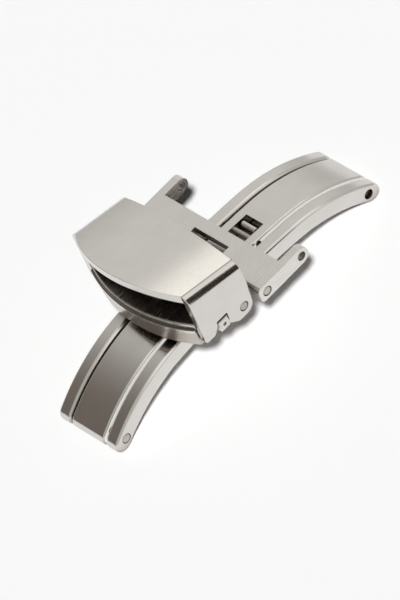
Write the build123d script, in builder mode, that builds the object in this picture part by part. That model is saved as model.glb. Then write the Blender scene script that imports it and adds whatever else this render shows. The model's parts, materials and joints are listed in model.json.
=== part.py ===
from build123d import *
import os
from math import asin, cos, degrees, radians, sin, sqrt

# Deployant clasp for a watch strap, closed. Two folding arms lie between the rails of an
# arched frame. The left arm carries the hooded strap box with its push-buttons, the right
# arm carries the tilting lug plate. X runs along the strap, Y across it and Z away from the
# wrist. The origin is under the middle of the clasp, level with the two ends of the arch.

# Arch: a nearly flat crown between two tighter shoulders, measured on its outer face
crown_radius = 105.0
crown_half_angle = 5.16
shoulder_radius = 21.0
hinge_angle = 36.7
arch_thickness = 2.2
frame_half_width = 4.67
groove_width = 0.25
strip_half_width = 2.55
strip_thickness = 1.3
end_nose = 0.65
frame_floor_thickness = 0.75
frame_edge_round = 0.38
rail_inner_round = 0.45
strip_edge_round = 0.25

# Cross pins and the clearances they run with
hinge_pin_radius = 0.6
head_pin_radius = 0.56
press_gap = 0.01
running_gap = 0.05
pin_chamfer = 0.12
hinge_knuckle_gap = 0.15
pin_recess = 0.45
overrun = 2.0

# Lug plate: a tilting plate with two lugs for the spring bar of an 18 mm strap end
strap_end_width = 18.0
lug_thickness = 1.0
lug_plate_top = 2.66
lug_plate_depth = 2.02
lug_plate_thickness = 1.05
lug_pin_x = 0.64
lug_pin_height = 1.62
lug_plate_inner_reach = 1.09
lug_plate_outer_x = 3.85
spring_bar_x = 6.1
spring_bar_height = 1.67
spring_bar_hole_radius = 0.55
lug_tip_radius = 1.0
knuckle_slot_x = 2.35
knuckle_slot_gap = 0.15
lug_knuckle_radius = 1.0
lug_corner_round = 0.5

# Strap box cover: a hood with a crowned, sloping roof and a bowed front edge
cover_front_x = -8.15
cover_rear_x = -0.84
cover_inner_half_width = 8.35
cover_wall = 1.0
cover_front_bow = 2.6
cover_roof_height = 10.25
cover_roof_slope = 11.6
cover_crown_radius = 31.9
cover_roof_thickness = 1.08
cover_shoulder_round = 1.45
cover_front_corner_round = 0.25
cover_rear_corner_round = 0.9
cover_wall_rear_x = -0.65
cover_rear_wall_top = 6.4
cover_edge_round = 0.12
cover_pin_x = -2.31
cover_pin_height = 1.79
cover_lobe_radius = 1.2
cover_leg_foot = 1.75
cover_leg_rear_x = -6.9
cover_leg_slant = 0.85
lobe_toe_x = -3.45
notch_front_x = -6.12
notch_rear_x = -4.5
notch_height = 3.1
lobe_front_height = 1.35

# Strap box floor: two stacked plates over the latch housing
plate_side_gap = 0.15
plate_front_bow = 1.85
carrier_bottom = 2.96
carrier_thickness = 0.44
carrier_lip = 0.3
strap_plate_thickness = 0.75
plate_rear_x = -1.4
tang_x = -6.4
tang_radius = 0.65
tang_height = 2.1
tang_neck_radius = 0.42
tang_neck_height = 0.7

# Latch housing and the arm's pad below it
housing_setback = 0.15
housing_rear_x = -3.6
housing_bottom = 0.95
housing_floor = 0.42
housing_end_wall = 0.45
housing_rear_wall = 0.35
housing_bay_front_x = -7.1
pad_front_x = -8.35
screw_x = -7.65
screw_y = 1.6
screw_radius = 0.35
screw_head_radius = 0.62
screw_slot_width = 0.2
screw_head_height = 0.4
screw_tip = 2.2

# Keeper post and the window that lets it through the left arm
post_x = -5.5
post_length = 0.8
post_neck_half_width = 0.38
post_head_half_width = 0.66
post_top = 2.38
post_head_height = 0.42
post_round = 0.15
post_seat = 0.05
arm_window_front_gap = 0.3
arm_window_rear_x = -3.4
arm_window_half_width = 0.95
housing_window_rear_x = -4.0

# Push-buttons and the crossed latch slides they carry
button_x = -5.33
button_length = 1.3
button_bottom_gap = 0.06
button_top_gap = 0.08
button_side_gap = 0.07
button_proud = 0.12
button_flange_length = 2.2
button_flange_thickness = 0.55
button_flange_gap = 0.08
button_round = 0.14
dimple_radius = 0.24
dimple_depth = 0.16
button_travel = 0.8
slide_thickness = 0.46
slide_half_length = 1.45
slide_body_inner_y = 3.9
slide_rail_width = 0.45
slide_lip_clear = 0.12
slide_lip_width = 1.1
slide_lip_gap = 0.15
rib_thickness = 0.3
spring_wire = 0.3
spring_side_gap = 0.06
spring_root_y = 2.9
spring_free = 0.95
spring_half_width = 0.9
spring_leg_count = 5

# Right arm: its window, cross bar and the frame's hook behind the bar
hook_window_inner_x = 4.4
hook_window_outer_x = 7.96
hook_window_half_width = 1.35
catch_bar_x = 5.85
catch_bar_radius = 0.36
catch_bar_depth = 0.5
catch_bar_half_length = 2.25
hook_x = 7.0
hook_length = 0.8
hook_half_width = 1.05
hook_depth = 0.1

# Derived places
pin_depth = arch_thickness / 2
shoulder_centre_x = (crown_radius - shoulder_radius) * sin(radians(crown_half_angle))
shoulder_centre_drop = crown_radius - (crown_radius - shoulder_radius) * cos(radians(crown_half_angle))
hinge_x = shoulder_centre_x + (shoulder_radius - pin_depth) * sin(radians(hinge_angle))
hinge_drop = shoulder_centre_drop - (shoulder_radius - pin_depth) * cos(radians(hinge_angle))
apex = hinge_drop + pin_depth + end_nose * sin(radians(hinge_angle))
hinge_z = apex - hinge_drop
rail_inner = strip_half_width + groove_width
frame_floor_depth = arch_thickness - frame_floor_thickness
lug_outer = strap_end_width / 2 + lug_thickness
lug_pin_z = apex + lug_pin_height
cover_pin_z = apex + cover_pin_height
cover_half_width = cover_inner_half_width + cover_wall
plate_half_width = cover_inner_half_width - plate_side_gap
strap_plate_top = carrier_bottom + carrier_thickness + strap_plate_thickness
window_front_x = post_x - post_length / 2 - arm_window_front_gap
bay_bottom = housing_bottom + housing_floor
bay_rear_x = housing_rear_x - housing_rear_wall
bay_half_width = plate_half_width - housing_end_wall
button_bottom = bay_bottom + button_bottom_gap
button_height = carrier_bottom - button_top_gap - button_bottom
slide_top = button_bottom + slide_thickness
flange_outer_y = bay_half_width - button_flange_gap
flange_inner_y = flange_outer_y - button_flange_thickness
slide_lip_y = post_head_half_width + slide_lip_clear
roof_front_x = cover_front_x - cover_front_bow - overrun
roof_back_x = cover_rear_x + overrun
cover_inner_corner = apex + cover_rear_wall_top
roof_fall = radians(cover_roof_slope)
roof_plane = Plane(
    origin=(cover_front_x, 0, apex + cover_roof_height),
    x_dir=(0, 1, 0),
    z_dir=(cos(roof_fall), 0, -sin(roof_fall)),
)


def arch_drop(x, depth=0.0):
    """How far the arch lies below its apex at x, for a face that deep in the section."""
    x = abs(x)
    if x <= (crown_radius - depth) * sin(radians(crown_half_angle)):
        return crown_radius - sqrt((crown_radius - depth) ** 2 - x**2)
    reach = x - shoulder_centre_x
    return shoulder_centre_drop - sqrt((shoulder_radius - depth) ** 2 - reach**2)


def arch_edge(depth, end_angle):
    """Three tangent arcs along the arch at one depth, from its left end to its right end."""
    CenterArc(
        (-shoulder_centre_x, apex - shoulder_centre_drop),
        shoulder_radius - depth,
        90 + crown_half_angle,
        end_angle - crown_half_angle,
    )
    CenterArc((0, apex - crown_radius), crown_radius - depth, 90 - crown_half_angle, 2 * crown_half_angle)
    CenterArc(
        (shoulder_centre_x, apex - shoulder_centre_drop),
        shoulder_radius - depth,
        90 - end_angle,
        end_angle - crown_half_angle,
    )


def arch_end(depth, end_angle, side):
    """The point where the arch's face at one depth ends, on the side given by its sign."""
    reach = shoulder_radius - depth
    return (
        side * (shoulder_centre_x + reach * sin(radians(end_angle))),
        apex - shoulder_centre_drop + reach * cos(radians(end_angle)),
    )


def arch_band(top_depth, bottom_depth, end_angle=hinge_angle):
    """Closed band of the arch between two depths, as a face on the plane of the side view."""
    with BuildLine() as outline:
        arch_edge(top_depth, end_angle)
        arch_edge(bottom_depth, end_angle)
        for side in (-1, 1):
            Line(arch_end(top_depth, end_angle, side), arch_end(bottom_depth, end_angle, side))
    make_face(outline.edges())


def arch_tip(side):
    """Rounded end of the arch's section round a hinge pin, with a nose past the pin."""
    turn = radians(hinge_angle)
    with Locations((side * (hinge_x + end_nose * cos(turn) / 2), hinge_z - end_nose * sin(turn) / 2)):
        SlotCenterToCenter(end_nose, arch_thickness, rotation=-side * hinge_angle)


def top_rims(strip, half_width):
    """The long edges of the arch's outer face that lie at one distance to either side."""
    return [
        edge
        for edge in strip.edges().filter_by(GeomType.CIRCLE)
        if min(abs(edge.radius - crown_radius), abs(edge.radius - shoulder_radius)) < press_gap
        and abs(abs(edge.center().Y) - half_width) < press_gap
    ]


def cross_pin(x, z, radius, half_length):
    """A plain cross pin with chamfered ends, lying along Y."""
    with BuildPart() as pin:
        with BuildSketch(Plane.XZ):
            with Locations((x, z)):
                Circle(radius)
        extrude(amount=half_length, both=True)
        chamfer(pin.edges().filter_by(GeomType.CIRCLE), pin_chamfer)
    return pin


def hood_section(depth, half_width):
    """Section under the crowned roof at one depth, square to the roof's slope, on roof_plane."""
    reach = cover_crown_radius - depth
    spread = degrees(asin(half_width / reach))
    with BuildLine() as outline:
        roof = CenterArc((0, -cover_crown_radius), reach, 90 - spread, 2 * spread)
        Polyline(
            roof @ 0,
            (half_width, -2 * cover_roof_height),
            (-half_width, -2 * cover_roof_height),
            roof @ 1,
        )
    make_face(outline.edges())


def side_shoulders(hood):
    """The two long edges where the roof meets the outer side walls."""
    rims = [edge for edge in hood.edges() if abs(edge.center().Y) > cover_inner_half_width]
    return ShapeList(rims).sort_by(Axis.Z)[-2:]


def save(piece, name):
    """Labels a finished sub-part and writes it under that name."""
    piece.part.label = name
    export_step(piece.part, f"parts/{name}.step")


os.makedirs("parts", exist_ok=True)

# Base frame: two rails joined by a thin floor, open round each hinge
with BuildPart() as base_frame:
    with BuildSketch(Plane.XZ):
        arch_band(0, arch_thickness)
        for side in (-1, 1):
            arch_tip(side)
    extrude(amount=frame_half_width, both=True)
    for wall in (0, -1):
        fillet(base_frame.faces().sort_by(Axis.Y)[wall].outer_wire().edges(), frame_edge_round)
    with BuildSketch(Plane.XZ):
        arch_band(-overrun, frame_floor_depth, hinge_angle + crown_half_angle)
        with Locations((-hinge_x, hinge_z), (hinge_x, hinge_z)):
            Circle(pin_depth + end_nose + hinge_knuckle_gap)
    extrude(amount=rail_inner, both=True, mode=Mode.SUBTRACT)
    fillet(top_rims(base_frame, rail_inner), rail_inner_round)
    with BuildSketch(Plane.XZ):
        with Locations((-hinge_x, hinge_z), (hinge_x, hinge_z)):
            Circle(hinge_pin_radius + press_gap)
    extrude(amount=frame_half_width + overrun, both=True, mode=Mode.SUBTRACT)
    with BuildSketch(Plane.XY.offset(apex)):
        with Locations((post_x, 0)):
            Rectangle(post_length + 2 * press_gap, 2 * (post_neck_half_width + press_gap))
        with Locations((hook_x, 0)):
            Rectangle(hook_length + 2 * press_gap, 2 * (hook_half_width + press_gap))
    extrude(amount=arch_thickness + overrun, both=True, mode=Mode.SUBTRACT)
save(base_frame, "base_frame")

# Hinge pins: the right one sits a little below the rail's face
for name, x, recess in (("left_hinge_pin", -hinge_x, 0), ("right_hinge_pin", hinge_x, pin_recess)):
    save(cross_pin(x, hinge_z, hinge_pin_radius, frame_half_width - recess), name)

# Keeper post: a mushroom-headed post that the latch slides close round
with BuildPart() as keeper_post:
    with BuildSketch(Plane.XY.offset(apex - arch_drop(post_x) - arch_thickness + post_seat)):
        with Locations((post_x, 0)):
            Rectangle(post_length, 2 * post_neck_half_width)
    extrude(amount=post_top + arch_drop(post_x) + arch_thickness - post_seat)
    with BuildSketch(Plane.XY.offset(apex + post_top - post_head_height)):
        with Locations((post_x, 0)):
            Rectangle(post_length, 2 * post_head_half_width)
    extrude(amount=post_head_height)
    chamfer(keeper_post.faces().sort_by(Axis.Z)[-1].edges(), post_round)
save(keeper_post, "keeper_post")

# Keeper hook: a round-topped block that stands behind the right arm's cross bar
with BuildPart() as keeper_hook:
    hook_face = apex - arch_drop(hook_x)
    hook_foot = hook_face - arch_thickness + post_seat
    hook_crown = hook_face - hook_depth - hook_length / 2
    with BuildSketch(Plane.XZ):
        with Locations((hook_x, (hook_foot + hook_crown) / 2)):
            Rectangle(hook_length, hook_crown - hook_foot)
        with Locations((hook_x, hook_crown)):
            Circle(hook_length / 2)
    extrude(amount=hook_half_width, both=True)
save(keeper_hook, "keeper_hook")

# Left arm: the strip that lies between the rails, its pad and its knuckle for the cover pin
with BuildPart() as left_arm:
    with BuildSketch(Plane.XZ):
        arch_band(0, strip_thickness)
        with BuildLine() as beyond:
            Polyline(
                (cover_pin_x + cover_lobe_radius, apex - hinge_drop - overrun),
                (hinge_x + 2 * overrun, apex - hinge_drop - overrun),
                (hinge_x + 2 * overrun, apex + overrun),
                (cover_pin_x + cover_lobe_radius, apex + overrun),
                close=True,
            )
        make_face(mode=Mode.SUBTRACT)
        arch_tip(-1)
    extrude(amount=strip_half_width, both=True)
    fillet(top_rims(left_arm, strip_half_width), strip_edge_round)
    with BuildSketch(Plane.XZ):
        with BuildLine():
            Polyline(
                (pad_front_x, apex - strip_thickness / 2),
                (pad_front_x, apex + housing_bottom),
                (cover_pin_x - cover_lobe_radius, apex + housing_bottom),
                (cover_pin_x - cover_lobe_radius, cover_pin_z),
                (cover_pin_x + cover_lobe_radius, cover_pin_z),
                (cover_pin_x + cover_lobe_radius, apex - strip_thickness / 2),
                close=True,
            )
        make_face()
        with Locations((cover_pin_x, cover_pin_z)):
            Circle(carrier_bottom - cover_pin_height)
    extrude(amount=strip_half_width, both=True)
    with BuildSketch(Plane.XZ):
        with Locations((-hinge_x, hinge_z)):
            Circle(hinge_pin_radius + running_gap)
        with Locations((cover_pin_x, cover_pin_z)):
            Circle(head_pin_radius + press_gap)
    extrude(amount=strip_half_width + overrun, both=True, mode=Mode.SUBTRACT)
    with BuildSketch(Plane.XY.offset(apex)):
        with Locations(((window_front_x + arm_window_rear_x) / 2, 0)):
            Rectangle(arm_window_rear_x - window_front_x, 2 * arm_window_half_width)
    extrude(amount=arch_thickness + overrun, both=True, mode=Mode.SUBTRACT)
    screw_seat = -arch_drop(screw_x) - strip_thickness
    with BuildSketch(Plane.XY.offset(apex - overrun)):
        with Locations((screw_x, -screw_y), (screw_x, screw_y)):
            Circle(screw_radius + press_gap)
    extrude(amount=overrun + screw_tip, mode=Mode.SUBTRACT)
    with BuildSketch(Plane.XY.offset(apex + screw_seat + screw_head_height)):
        with Locations((screw_x, -screw_y), (screw_x, screw_y)):
            Circle(screw_head_radius + press_gap)
    extrude(amount=-overrun, mode=Mode.SUBTRACT)
save(left_arm, "left_arm")

# Screws that hold the latch housing on the arm's pad, put in from below
with BuildPart() as housing_screws:
    for y in (-screw_y, screw_y):
        with BuildSketch(Plane.XY.offset(apex + screw_seat + post_seat)):
            with Locations((screw_x, y)):
                Circle(screw_head_radius)
        extrude(amount=screw_head_height - post_seat)
        with BuildSketch(Plane.XY.offset(apex + screw_seat + screw_head_height)):
            with Locations((screw_x, y)):
                Circle(screw_radius)
        extrude(amount=screw_tip - screw_seat - screw_head_height)
        with BuildSketch(Plane.XY.offset(apex + screw_seat + post_seat)):
            with Locations((screw_x, y)):
                Rectangle(2 * screw_head_radius + overrun, screw_slot_width)
        extrude(amount=screw_head_height / 2, mode=Mode.SUBTRACT)
save(housing_screws, "housing_screws")


def floor_face(front, rear):
    """Plan of a piece that fills the width between the cover's walls, with a bowed front edge."""
    with BuildLine() as outline:
        ThreePointArc(
            (front, -plate_half_width), (front - plate_front_bow, 0), (front, plate_half_width)
        )
        Polyline(
            (front, plate_half_width),
            (rear, plate_half_width),
            (rear, -plate_half_width),
            (front, -plate_half_width),
        )
    make_face(outline.edges())


# Latch housing: an open tray across the arm, notched at both ends for the buttons
with BuildPart() as latch_housing:
    with BuildSketch(Plane.XY.offset(apex + housing_bottom)):
        floor_face(cover_front_x - carrier_lip + housing_setback, housing_rear_x)
    extrude(amount=carrier_bottom - housing_bottom)
    fillet(latch_housing.edges().filter_by(Axis.Z), button_round)
    with BuildSketch(Plane.XY.offset(apex + bay_bottom)):
        with Locations(((housing_bay_front_x + bay_rear_x) / 2, 0)):
            Rectangle(bay_rear_x - housing_bay_front_x, 2 * bay_half_width)
        with Locations((button_x, 0)):
            Rectangle(button_length + 2 * button_side_gap, 2 * (plate_half_width + overrun))
    extrude(amount=carrier_bottom, mode=Mode.SUBTRACT)
    with BuildSketch(Plane.XY.offset(apex + slide_top + spring_side_gap)):
        for side in (-1, 1):
            with Locations(((housing_bay_front_x + bay_rear_x) / 2, side * (spring_root_y - rib_thickness / 2))):
                Rectangle(bay_rear_x - housing_bay_front_x, rib_thickness)
    extrude(amount=carrier_bottom - slide_top - spring_side_gap)
    with BuildSketch(Plane.XY.offset(apex)):
        with Locations(((window_front_x + housing_window_rear_x) / 2, 0)):
            Rectangle(housing_window_rear_x - window_front_x, 2 * arm_window_half_width)
        with Locations((screw_x, -screw_y), (screw_x, screw_y)):
            Circle(screw_radius + press_gap)
    extrude(amount=screw_tip, mode=Mode.SUBTRACT)
save(latch_housing, "latch_housing")

# Carrier plate: the lower floor plate, which closes the housing
with BuildPart() as carrier_plate:
    with BuildSketch(Plane.XY.offset(apex + carrier_bottom)):
        floor_face(cover_front_x - carrier_lip, plate_rear_x)
    extrude(amount=carrier_thickness)
    fillet(carrier_plate.edges().filter_by(Axis.Z), button_round)
save(carrier_plate, "carrier_plate")

# Strap plate: the upper floor plate that the strap lies on
with BuildPart() as strap_plate:
    with BuildSketch(Plane.XY.offset(apex + carrier_bottom + carrier_thickness)):
        floor_face(cover_front_x, plate_rear_x)
    extrude(amount=strap_plate_thickness)
    fillet(strap_plate.edges().filter_by(Axis.Z), button_round)
    chamfer(strap_plate.faces().sort_by(Axis.Z)[-1].edges(), cover_edge_round)
    with BuildSketch(Plane.XY.offset(apex + carrier_bottom)):
        with Locations((tang_x, 0)):
            Circle(tang_neck_radius + press_gap)
    extrude(amount=strap_plate_top, mode=Mode.SUBTRACT)
save(strap_plate, "strap_plate")

# Tang: the stud that stands up through one of the strap's holes
with BuildPart() as tang:
    with BuildSketch(Plane.XZ):
        foot = apex + carrier_bottom + carrier_thickness
        with BuildLine():
            Polyline(
                (tang_x, foot),
                (tang_x + tang_neck_radius, foot),
                (tang_x + tang_neck_radius, apex + strap_plate_top + tang_neck_height),
                (tang_x + tang_radius, apex + strap_plate_top + tang_neck_height + tang_neck_radius),
                (tang_x + tang_radius, apex + strap_plate_top + tang_height - tang_neck_radius),
                (tang_x + tang_neck_radius, apex + strap_plate_top + tang_height),
                (tang_x, apex + strap_plate_top + tang_height),
                close=True,
            )
        make_face()
    revolve(axis=Axis((tang_x, 0, 0), (0, 0, 1)))
save(tang, "tang")

# Cover pin, held in the left arm's knuckle
save(cross_pin(cover_pin_x, cover_pin_z, head_pin_radius, cover_half_width), "cover_pin")

# Cover: the hood over the strap, open at both ends and turning on the cover pin. Its roof is
# crowned across the clasp and reaches out past the walls in front
with BuildPart() as cover:
    with BuildSketch(Plane.XZ):
        with BuildLine():
            Polyline(
                (roof_front_x, apex + 2 * cover_roof_height),
                (roof_back_x, apex + 2 * cover_roof_height),
                (roof_back_x, cover_inner_corner),
                (cover_wall_rear_x, cover_inner_corner),
                (cover_pin_x + cover_lobe_radius, cover_pin_z),
            )
            CenterArc((cover_pin_x, cover_pin_z), cover_lobe_radius, 0, -90)
            Polyline(
                (cover_pin_x, cover_pin_z - cover_lobe_radius),
                (lobe_toe_x, cover_pin_z - cover_lobe_radius),
                (notch_rear_x, apex + lobe_front_height),
                (notch_rear_x, apex + notch_height),
                (notch_front_x, apex + notch_height),
                (notch_front_x, apex + cover_leg_foot + cover_leg_slant),
                (cover_leg_rear_x, apex + cover_leg_foot),
                (roof_front_x, apex + cover_leg_foot),
                (roof_front_x, apex + 2 * cover_roof_height),
            )
        make_face()
    extrude(amount=cover_half_width, both=True)
    with BuildSketch(roof_plane):
        hood_section(0, cover_half_width)
    extrude(amount=2 * cover_roof_height, both=True, mode=Mode.INTERSECT)
    fillet(side_shoulders(cover), cover_shoulder_round)
    with BuildSketch(Plane.XY.offset(apex)):
        with BuildLine():
            front = ThreePointArc(
                (cover_front_x, -cover_inner_half_width),
                (cover_front_x - cover_front_bow, 0),
                (cover_front_x, cover_inner_half_width),
            )
            Polyline(
                front @ 1,
                (cover_front_x, cover_half_width),
                (cover_rear_x, cover_half_width),
                (cover_rear_x, -cover_half_width),
                (cover_front_x, -cover_half_width),
                front @ 0,
            )
        plan = make_face()
        corners = [
            spot
            for spot in plan.vertices()
            if abs(spot.Y) > cover_half_width - cover_front_corner_round
        ]
        fillet([spot for spot in corners if spot.X < cover_pin_x], cover_front_corner_round)
        fillet([spot for spot in corners if spot.X > cover_pin_x], cover_rear_corner_round)
    extrude(amount=2 * cover_roof_height, mode=Mode.INTERSECT)
    with BuildSketch(roof_plane):
        hood_section(cover_roof_thickness, cover_inner_half_width)
    extrude(amount=2 * cover_roof_height, both=True, mode=Mode.SUBTRACT)
    with BuildSketch(Plane.XZ):
        with Locations((cover_pin_x, cover_pin_z)):
            Circle(head_pin_radius + running_gap)
    extrude(amount=cover_half_width + overrun, both=True, mode=Mode.SUBTRACT)
save(cover, "cover")

# Push-buttons: a dimpled cap in the cover's notch with a flange inside the housing
for name, side in (("left_button", 1), ("right_button", -1)):
    with BuildPart() as button:
        cap_face_y = cover_half_width + button_proud
        with BuildSketch(Plane.XY.offset(apex + button_bottom)):
            with Locations((button_x, side * (cap_face_y + flange_outer_y) / 2)):
                Rectangle(button_length, cap_face_y - flange_outer_y)
        extrude(amount=button_height)
        fillet(button.faces().sort_by(Axis.Y)[min(-side, 0)].edges(), button_round)
        with BuildSketch(Plane.XY.offset(apex + button_bottom)):
            with Locations((button_x, side * (flange_outer_y + flange_inner_y) / 2)):
                Rectangle(button_flange_length, button_flange_thickness)
        extrude(amount=button_height)
        with Locations((button_x, side * cap_face_y, apex + button_bottom + button_height / 2)):
            Cylinder(dimple_radius, 2 * dimple_depth, rotation=(90, 0, 0), mode=Mode.SUBTRACT)
    save(button, name)

# Latch slides: each reaches past the post from its button and closes on the far side
for name, side in (("left_latch_slide", 1), ("right_latch_slide", -1)):
    with BuildPart() as slide:
        far_y = slide_lip_y + slide_lip_width
        rail_middle = slide_half_length - slide_rail_width / 2
        with BuildSketch(Plane.XY.offset(apex + button_bottom)):
            with Locations((post_x, side * (flange_inner_y + slide_body_inner_y) / 2)):
                Rectangle(2 * slide_half_length, flange_inner_y - slide_body_inner_y)
            with Locations((post_x - side * rail_middle, side * (slide_body_inner_y - far_y) / 2)):
                Rectangle(slide_rail_width, slide_body_inner_y + far_y)
            lip_length = 2 * slide_half_length - slide_rail_width - slide_lip_gap
            with Locations(
                (
                    post_x - side * (slide_half_length - lip_length / 2),
                    -side * (slide_lip_y + far_y) / 2,
                )
            ):
                Rectangle(lip_length, slide_lip_width)
        extrude(amount=slide_thickness)
    save(slide, name)

# Button springs: zigzag leaves standing between a rib of the housing and the button's flange
for name, side in (("left_button_spring", 1), ("right_button_spring", -1)):
    with BuildPart() as spring:
        root = spring_root_y + spring_wire / 2
        pitch = (flange_inner_y - spring_free - spring_wire / 2 - root) / (spring_leg_count - 1)
        with BuildSketch(Plane.XY.offset(apex + slide_top + spring_side_gap)):
            with BuildLine():
                bends = []
                for leg in range(spring_leg_count):
                    swing = spring_half_width if leg % 2 else -spring_half_width
                    y = side * (root + leg * pitch)
                    bends += [(post_x + swing, y), (post_x - swing, y)]
                FilletPolyline(*bends, radius=pitch / 2 - press_gap)
            trace(line_width=spring_wire)
        extrude(amount=carrier_bottom - slide_top - 2 * spring_side_gap)
    save(spring, name)

# Right arm: the strip on the lug plate's side, its window and its knuckle for the lug pin
with BuildPart() as right_arm:
    knuckle_inner_x = lug_pin_x - lug_knuckle_radius
    catch_bar_z = apex - arch_drop(catch_bar_x) - catch_bar_depth
    with BuildSketch(Plane.XZ):
        arch_band(0, strip_thickness)
        with BuildLine():
            Polyline(
                (knuckle_inner_x, apex - hinge_drop - overrun),
                (-hinge_x - overrun, apex - hinge_drop - overrun),
                (-hinge_x - overrun, apex + overrun),
                (knuckle_inner_x, apex + overrun),
                close=True,
            )
        make_face(mode=Mode.SUBTRACT)
        arch_tip(1)
    extrude(amount=strip_half_width, both=True)
    fillet(top_rims(right_arm, strip_half_width), strip_edge_round)
    with BuildSketch(Plane.XZ):
        with Locations((lug_pin_x, lug_pin_z)):
            Circle(lug_knuckle_radius)
        with Locations((lug_pin_x, (apex - strip_thickness / 2 + lug_pin_z) / 2)):
            Rectangle(2 * lug_knuckle_radius, lug_pin_height + strip_thickness / 2)
    extrude(amount=strip_half_width, both=True)
    with BuildSketch(Plane.XZ):
        with Locations((hinge_x, hinge_z)):
            Circle(hinge_pin_radius + running_gap)
        with Locations((lug_pin_x, lug_pin_z)):
            Circle(head_pin_radius + press_gap)
        with Locations((catch_bar_x, catch_bar_z)):
            Circle(catch_bar_radius + press_gap)
    extrude(amount=strip_half_width + overrun, both=True, mode=Mode.SUBTRACT)
    with BuildSketch(Plane.XY.offset(apex)):
        with Locations(((hook_window_inner_x + hook_window_outer_x) / 2, 0)):
            Rectangle(hook_window_outer_x - hook_window_inner_x, 2 * hook_window_half_width)
    extrude(amount=arch_thickness + overrun, both=True, mode=Mode.SUBTRACT)
save(right_arm, "right_arm")

# Cross bar of the right arm's window, and the pin that the lug plate turns on
save(cross_pin(catch_bar_x, catch_bar_z, catch_bar_radius, catch_bar_half_length), "catch_bar")
save(cross_pin(lug_pin_x, lug_pin_z, head_pin_radius, lug_outer), "lug_pin")

# Lug plate: a bar round the lug pin with two lugs for the spring bar
with BuildPart() as lug_plate:
    plate_top = apex + lug_plate_top
    plate_bottom = plate_top - lug_plate_depth
    plate_inner_x = lug_pin_x - lug_plate_inner_reach
    with BuildSketch(Plane.XZ):
        with BuildLine():
            Polyline(
                (plate_inner_x, plate_bottom),
                (plate_inner_x, plate_top),
                (spring_bar_x, plate_top),
                (spring_bar_x, plate_bottom),
                close=True,
            )
        face = make_face()
        fillet(face.vertices().group_by(Axis.X)[0], lug_corner_round)
        with Locations((spring_bar_x, apex + spring_bar_height)):
            Circle(lug_tip_radius)
    extrude(amount=lug_outer, both=True)
    with BuildSketch(Plane.XY.offset(plate_bottom)):
        with Locations((lug_plate_outer_x + lug_outer / 2, 0)):
            Rectangle(lug_outer, strap_end_width)
        with Locations((knuckle_slot_x - lug_outer / 2, 0)):
            Rectangle(lug_outer, 2 * (strip_half_width + knuckle_slot_gap))
    extrude(amount=2 * lug_plate_depth, both=True, mode=Mode.SUBTRACT)
    with BuildSketch(Plane.XY.offset(plate_top - lug_plate_thickness)):
        with Locations((lug_pin_x + lug_knuckle_radius + lug_outer / 2, 0)):
            Rectangle(lug_outer, strap_end_width)
    extrude(amount=-lug_plate_depth, mode=Mode.SUBTRACT)
    with BuildSketch(Plane.XZ):
        with Locations((lug_pin_x, lug_pin_z)):
            Circle(head_pin_radius + running_gap)
        with Locations((spring_bar_x, apex + spring_bar_height)):
            Circle(spring_bar_hole_radius)
    extrude(amount=lug_outer + overrun, both=True, mode=Mode.SUBTRACT)
save(lug_plate, "lug_plate")
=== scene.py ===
import json
import math

import bpy
from mathutils import Matrix, Vector


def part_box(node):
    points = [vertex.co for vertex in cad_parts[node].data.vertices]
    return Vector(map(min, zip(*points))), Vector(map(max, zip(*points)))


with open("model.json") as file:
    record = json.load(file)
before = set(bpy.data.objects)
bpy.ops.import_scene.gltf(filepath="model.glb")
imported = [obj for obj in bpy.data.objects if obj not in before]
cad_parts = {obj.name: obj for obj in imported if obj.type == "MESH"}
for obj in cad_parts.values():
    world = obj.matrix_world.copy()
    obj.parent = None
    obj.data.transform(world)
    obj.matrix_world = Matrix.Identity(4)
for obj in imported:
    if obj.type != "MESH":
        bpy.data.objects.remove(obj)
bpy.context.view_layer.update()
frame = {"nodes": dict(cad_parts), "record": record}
scene = bpy.context.scene
nodes = frame["nodes"]
MM = 0.001


# Helpers for shader nodes

def feed(tree, socket, value):
    """Links the value where it is a socket, and sets it otherwise."""
    if isinstance(value, bpy.types.NodeSocket):
        tree.links.new(value, socket)
    else:
        socket.default_value = value


def add(tree, kind, settings=None, **inputs):
    """A shader node. Each input is set to a value, or linked where the value is a socket."""
    node = tree.nodes.new("ShaderNode" + kind)
    for name, value in (settings or {}).items():
        setattr(node, name, value)
    for name, value in inputs.items():
        feed(tree, node.inputs[name.replace("_", " ")], value)
    return node


def work_out(tree, operation, *values, kind="Math"):
    """The operation on one, two or three values, each a number, a vector or a socket."""
    node = add(tree, kind, {"operation": operation})
    for socket, value in zip(node.inputs, values):
        feed(tree, socket, value)
    return node.outputs["Value"]


def mix(tree, factor, low, high):
    """Colours low and high blended by factor."""
    return add(tree, "Mix", {"data_type": "RGBA"}, Factor=factor, A=low, B=high).outputs["Result"]


def ramp(tree, value, start, end, low, high, curve="LINEAR"):
    """value from start to end, spread to low and high."""
    node = add(tree, "MapRange", {"interpolation_type": curve}, Value=value, From_Min=start, From_Max=end,
               To_Min=low, To_Max=high)
    return node.outputs["Result"]


def noise(tree, place, size, detail):
    """Cloudy noise whose spots are size (x, y, z) millimetres large."""
    mapped = add(tree, "Mapping", Vector=place, Scale=[1 / (s * MM) for s in size])
    return add(tree, "TexNoise", Vector=mapped.outputs["Vector"], Scale=1.0, Detail=detail).outputs["Fac"]


def rgba(colour, share=1.0):
    """A share of the colour, opaque and no brighter than white."""
    return (*[min(1.0, c * share) for c in colour], 1.0)


# Steel. Sizes are in millimetres, those of the noises along X, Y and Z

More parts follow.
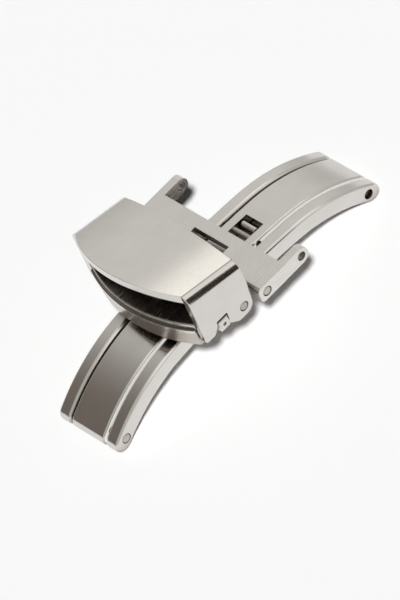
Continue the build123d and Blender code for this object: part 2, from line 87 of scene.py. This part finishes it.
STREAK_SIZE, STREAK_DETAIL = (3.2, 0.09, 0.09), 3.0
CLOUD_SIZE, CLOUD_DETAIL = (2.6, 1.9, 1.9), 2.0
SCRATCH_SIZE, SCRATCH_DETAIL = (1.6, 0.06, 0.6), 1.0
STREAK_LOW, STREAK_HIGH = 0.3, 0.7
STREAK_GLOSS = 0.2
SCRATCH_START, SCRATCH_FULL = 0.66, 0.74
SCRATCH_GLOSS = 0.08
RELIEF = 0.002
# How far the rounded normal agrees with the flat one where an edge starts to be rubbed, and is bright
RUB_START, RUB_FULL = 0.995, 0.9
WEAR = 0.5
RUBBED_TONE = 1.25
# How open a place is where the painted shade in corners and recesses starts, and where it is darkest
RECESS_SHADE_START, RECESS_SHADE_FULL = 0.85, 0.35
# The colour of the painted shade in corners and recesses
RECESS_SHADE_COLOUR = (0.16, 0.132, 0.108)
SAMPLES = 6

# The hood's satin roof ends at a seam on each side, and its shoulders and walls are polished
HOOD_SHOULDER = 1.05
# How far past the roof's edge the painted shade reaches inside the hood
HOOD_INSIDE = 0.1
# The roof's edge is this wide; along the near seam only, a painted dark reflection line as wide is drawn
# at this place and tone
SEAM, DARK_LINE_PLACE = 0.16, 0.12
DARK_LINE_TONE = 0.5
POLISH = 0.15

# The arms' sides in the grooves are matt and near-white: a painted highlight for the grooves' bright line,
# lit by the key
ARM_INSIDE = 2.3
SIDE_START, SIDE_FULL = 0.9, 0.99
PAINTED_SIDE_WHITE = (0.95, 0.93, 0.9)


def polish_walls(tree, hood, colour, place_y, aside, body, rough):
    """The colour and gloss of the hood, with a painted dark reflection line along its near seam, and its
    polished walls.
    """
    walls = ramp(tree, aside, hood, hood + SEAM, 0.0, 1.0)
    # Painted reflection: a dark line on the near side only
    painted_dark_line = work_out(tree, "COMPARE", place_y, hood + DARK_LINE_PLACE, SEAM / 2)
    return mix(tree, painted_dark_line, body, rgba(colour, DARK_LINE_TONE)), ramp(tree, walls, 0.0, 1.0, rough, POLISH)


def find_sides(tree, surface, aside):
    """1 on an arm's long sides, which face across the clasp, and 0 elsewhere."""
    across = add(tree, "SeparateXYZ", Vector=surface).outputs["Y"]
    facing = ramp(tree, work_out(tree, "ABSOLUTE", across), SIDE_START, SIDE_FULL, 0.0, 1.0)
    return work_out(tree, "MULTIPLY", facing, work_out(tree, "GREATER_THAN", aside, ARM_INSIDE))


def steel(name, colour, roughness, grain=0.35, cloud=0.05, edge=0.07, recess_shade=0.6, reach=0.9, hood=None,
          dull_sides=0.0):
    """Steel with drawn grain, cloudy colour and gloss, scratches, rubbed edges, and painted shade that
    darkens its corners and recesses.

    In millimetres: edge is how round the sharp edges look, reach is how far from a corner the painted
    shade spreads, and hood is the satin roof's half width where the piece is the hood. dull_sides is the
    roughness of an arm's sides, which are also painted near-white as a highlight."""
    material = bpy.data.materials.new(name)
    material.use_nodes = True
    tree = material.node_tree
    shader = tree.nodes["Principled BSDF"]
    shader.inputs["Metallic"].default_value = 1.0
    place = add(tree, "TexCoord").outputs["Object"]
    streaks = noise(tree, place, STREAK_SIZE, STREAK_DETAIL)
    clouds = noise(tree, place, CLOUD_SIZE, CLOUD_DETAIL)
    scratches = noise(tree, place, SCRATCH_SIZE, SCRATCH_DETAIL)
    hairs = ramp(tree, scratches, SCRATCH_START, SCRATCH_FULL, 0.0, 1.0)

    rounded = add(tree, "Bevel", {"samples": SAMPLES}, Radius=edge * MM).outputs["Normal"]
    surface = add(tree, "NewGeometry").outputs["Normal"]
    sameness = work_out(tree, "DOT_PRODUCT", rounded, surface, kind="VectorMath")
    rubbed = ramp(tree, sameness, RUB_START, RUB_FULL, 0.0, WEAR)
    # Painted shade: the colour darkens where ambient occlusion finds a corner or recess
    openness = add(tree, "AmbientOcclusion", {"samples": SAMPLES}, Distance=reach * MM).outputs["AO"]
    painted_shade = ramp(tree, openness, RECESS_SHADE_FULL, RECESS_SHADE_START, recess_shade, 0.0)
    place_y = work_out(tree, "MULTIPLY", add(tree, "SeparateXYZ", Vector=place).outputs["Y"], -1 / MM)
    aside = work_out(tree, "ABSOLUTE", place_y)
    # On the hood, the painted shade stays inside, between its walls
    if hood:
        painted_shade = work_out(tree, "MULTIPLY", painted_shade, work_out(tree, "LESS_THAN", aside, hood + HOOD_INSIDE))

    body = mix(tree, clouds, rgba(colour, 1 - cloud), rgba(colour, 1 + cloud))
    body = mix(tree, rubbed, body, rgba(colour, RUBBED_TONE))
    # Painted shade darkens the colour in corners and recesses
    body = mix(tree, painted_shade, body, rgba(RECESS_SHADE_COLOUR))
    smoothest, roughest = roughness * (1 - STREAK_GLOSS), roughness * (1 + STREAK_GLOSS)
    rough = ramp(tree, streaks, STREAK_LOW, STREAK_HIGH, smoothest, roughest)
    rough = work_out(tree, "MULTIPLY_ADD", hairs, SCRATCH_GLOSS, rough)
    if hood:
        body, rough = polish_walls(tree, hood, colour, place_y, aside, body, rough)
    # Painted highlight: the arms' sides turn near-white and matt, not metallic
    if dull_sides:
        side = find_sides(tree, surface, aside)
        body = mix(tree, side, body, rgba(PAINTED_SIDE_WHITE))
        rough = ramp(tree, side, 0.0, 1.0, rough, dull_sides)
        tree.links.new(work_out(tree, "SUBTRACT", 1.0, side), shader.inputs["Metallic"])
    tree.links.new(body, shader.inputs["Base Color"])
    tree.links.new(rough, shader.inputs["Roughness"])

    drawn = add(tree, "Bump", Strength=grain, Distance=RELIEF * MM, Height=streaks, Normal=rounded)
    scored = add(tree, "Bump", {"invert": True}, Strength=grain, Distance=RELIEF * MM, Height=hairs,
                 Normal=drawn.outputs["Normal"])
    tree.links.new(scored.outputs["Normal"], shader.inputs["Normal"])
    return material


WARM = (0.66, 0.64, 0.61)
hood_half_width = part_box("cover")[1].y / MM
# Each finish sets how dark its painted shade in corners and recesses is, and how far it reaches
finishes = {
    "cover_steel": steel("cover_steel", WARM, 0.2, edge=0.16, hood=hood_half_width - HOOD_SHOULDER,
                         recess_shade=0.9, reach=9.0),
    "lug_steel": steel("lug_steel", (0.72, 0.7, 0.67), 0.28, grain=0.08, recess_shade=0.9, reach=2.5),
    "frame_steel": steel("frame_steel", WARM, 0.16, recess_shade=0.9, reach=2.5),
    "arm_steel": steel("arm_steel", WARM, 0.14, recess_shade=0.9, reach=2.5, dull_sides=0.9),
    "right_arm_steel": steel("right_arm_steel", WARM, 0.2, recess_shade=0.45, reach=1.2, dull_sides=0.9),
    "button_steel": steel("button_steel", WARM, 0.15, recess_shade=0.65),
    "floor_steel": steel("floor_steel", WARM, 0.2, recess_shade=0.88, reach=9.0),
    # The housing's darker colour is a painted dark reflection
    "housing_steel": steel("housing_steel", (0.5, 0.46, 0.42), 0.25, recess_shade=0.9),
    "pin_steel": steel("pin_steel", (0.48, 0.45, 0.42), 0.3, cloud=0.4),
    "dark_pin": steel("dark_pin", (0.2, 0.18, 0.16), 0.4),
    "inner_steel": steel("inner_steel", WARM, 0.25),
    "spring_steel": steel("spring_steel", WARM, 0.25),
}
slot_of = {s["node"]: s["material_slot"] for s in frame["record"]["subparts"]}
for name, obj in nodes.items():
    obj.data.materials.clear()
    obj.data.materials.append(finishes[slot_of[name]])


# Studio sheets

def matt(name, colour, roughness):
    """A material of one colour without gloss."""
    material = bpy.data.materials.new(name)
    material.use_nodes = True
    shader = material.node_tree.nodes["Principled BSDF"]
    shader.inputs["Base Color"].default_value = rgba(colour)
    shader.inputs["Roughness"].default_value = roughness
    shader.inputs["Specular IOR Level"].default_value = 0.0
    return material


def sheet(name, corners, material):
    """A flat sheet with four corners."""
    mesh = bpy.data.meshes.new(name)
    mesh.from_pydata(corners, [], [(0, 1, 2, 3)])
    mesh.materials.append(material)
    obj = bpy.data.objects.new(name, mesh)
    scene.collection.objects.link(obj)
    return obj


REACH = 3.0
floor = sheet("floor", [(-REACH, -REACH, 0), (REACH, -REACH, 0), (REACH, REACH, 0), (-REACH, REACH, 0)],
              matt("floor_paper", colour=(0.97, 0.97, 0.97), roughness=0.95))

# A dark screen that stands beside the clasp. Only gloss shows it
FLAG_Y = -42
FLAG_LEFT, FLAG_RIGHT = 7, 26
FLAG_BOTTOM, FLAG_TOP = 5, 50
flag_corners = [(x * MM, FLAG_Y * MM, z * MM) for x, z in (
    (FLAG_LEFT, FLAG_BOTTOM), (FLAG_RIGHT, FLAG_BOTTOM), (FLAG_RIGHT, FLAG_TOP), (FLAG_LEFT, FLAG_TOP))]
flag = sheet("flag", flag_corners, matt("flag_felt", colour=(0.075, 0.055, 0.045), roughness=1.0))
flag.visible_camera = flag.visible_diffuse = flag.visible_shadow = False


# Camera, as it was fitted to the photo: its place in metres from the top of the arch, and its length

EYE_X, EYE_Y, EYE_ABOVE = -0.247784, -0.502777, 0.589741
FOCAL_PIXELS, PHOTO_HEIGHT = 7560.89, 600
NEAREST, FURTHEST = 0.05, 20.0
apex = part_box("base_frame")[1].z
right = Vector((0.67269, -0.67804, -0.29621))
up = Vector((0.67583, 0.40006, 0.61903))
look = Vector((0.30122, 0.61661, -0.72736))
camera = bpy.data.objects.new("camera", bpy.data.cameras.new("camera"))
scene.collection.objects.link(camera)
scene.camera = camera
turn = Matrix((right, up, -look)).transposed().to_4x4()
camera.matrix_world = Matrix.Translation((EYE_X, EYE_Y, EYE_ABOVE + apex)) @ turn
camera.data.lens = FOCAL_PIXELS * camera.data.sensor_width / PHOTO_HEIGHT
camera.data.clip_start = NEAREST
camera.data.clip_end = FURTHEST


# Light: a key from beside the camera, and a studio of pale and dark screens that the steel reflects

def toward(azimuth, elevation):
    """Unit vector; azimuth turns from +X to +Y."""
    a, e = math.radians(azimuth), math.radians(elevation)
    return Vector((math.cos(a) * math.cos(e), math.sin(a) * math.cos(e), math.sin(e)))


KEY_LEFT, KEY_ABOVE = 0.07, 0.07
KEY_ANGLE = 5.0
KEY_LEVEL = 0.95
FILL_LEVEL = 0.01
WHITE = (1.0, 1.0, 1.0)
SURROUND = (0.62, 0.61, 0.59)
# azimuth, elevation, half width, softness (degrees), colour
screens = [
    (47, 32, 16, 12, (0.8, 0.79, 0.77)),
    (140, 22, 30, 24, (0.2, 0.175, 0.155)),
    (330, 72, 30, 8, (1.0, 0.98, 0.95)),
    (17, 52, 8, 8, (1.45, 1.42, 1.35)),
    (270, 42, 12, 8, (1.5, 1.47, 1.42)),
    (318, 33, 12, 8, (1.1, 1.08, 1.05)),
]

key = bpy.data.objects.new("key", bpy.data.lights.new("key", "SUN"))
scene.collection.objects.link(key)
aim = (-look - KEY_LEFT * right + KEY_ABOVE * up).normalized()
key.rotation_euler = aim.to_track_quat("Z", "Y").to_euler()
key.data.angle = math.radians(KEY_ANGLE)
key.data.energy = KEY_LEVEL * math.pi / aim.z
key.visible_glossy = False

world = bpy.data.worlds.new("studio")
scene.world = world
world.use_nodes = True
sky = world.node_tree
direction = add(sky, "TexCoord").outputs["Generated"]
shown = rgba(SURROUND)
for azimuth, elevation, half, soft, colour in screens:
    facing = work_out(sky, "DOT_PRODUCT", direction, toward(azimuth, elevation), kind="VectorMath")
    outer, inner = math.cos(math.radians(half + soft)), math.cos(math.radians(half - soft))
    hit = ramp(sky, facing, outer, inner, 0.0, 1.0, "SMOOTHSTEP")
    shown = mix(sky, hit, shown, (*colour, 1.0))
path = add(sky, "LightPath").outputs
shown = mix(sky, path["Is Camera Ray"], shown, rgba(WHITE))
lit = mix(sky, path["Is Diffuse Ray"], shown, rgba(WHITE, FILL_LEVEL))
sky.links.new(lit, sky.nodes["Background"].inputs["Color"])

scene.view_settings.view_transform = "Standard"
